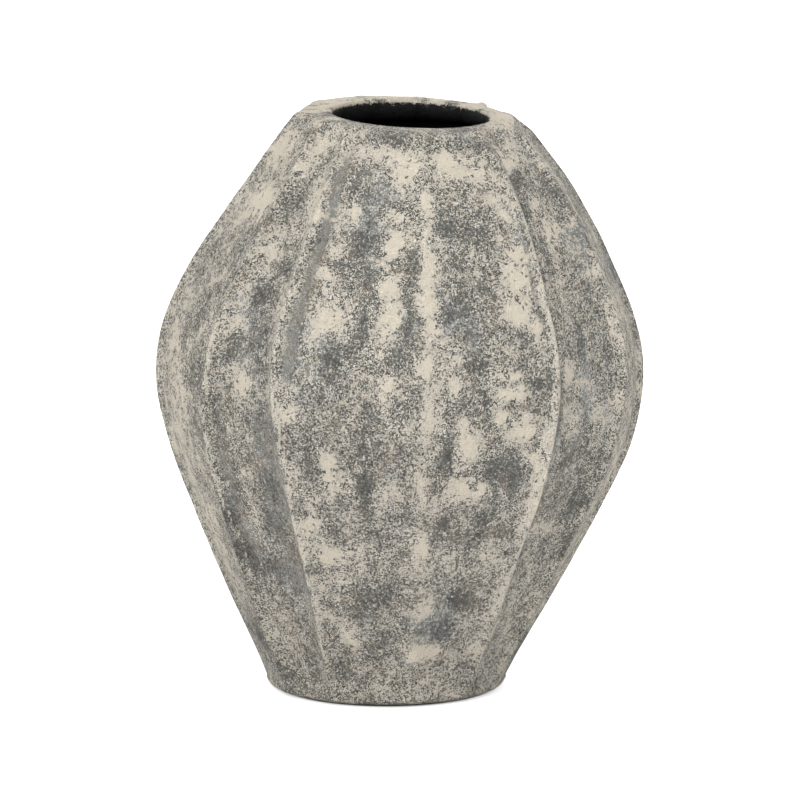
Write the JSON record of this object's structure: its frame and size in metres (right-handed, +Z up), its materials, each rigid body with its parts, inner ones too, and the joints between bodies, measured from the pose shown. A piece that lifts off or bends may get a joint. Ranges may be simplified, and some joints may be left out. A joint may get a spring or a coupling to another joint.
{
  "type": "lobed clay vase",
  "caption": "Hand-built egg-shaped clay vase with irregular pinched ridges, a plain round lip, an open hollow body and felt pads under the foot.",
  "frame": {"origin": "middle of the vase's outline, on the surface that it stands on", "axes": "+Z up, -Y to the front, +X to the right as seen from the front"},
  "size_m": [0.3006, 0.2972, 0.3598],
  "materials": {
    "foot_clay": "matt limewashed clay",
    "wall_clay": "matt limewash rubbed back over charcoal clay",
    "lip_clay": "smooth matt limewashed clay",
    "felt": "pressed felt"
  },
  "bodies": {
    "root": {"foot_slab": "foot_clay", "lobed_wall": "wall_clay", "rim_coil": "lip_clay", "felt_pad_right": "felt", "felt_pad_back": "felt", "felt_pad_left": "felt", "felt_pad_front": "felt"}
  },
  "joints": []
}
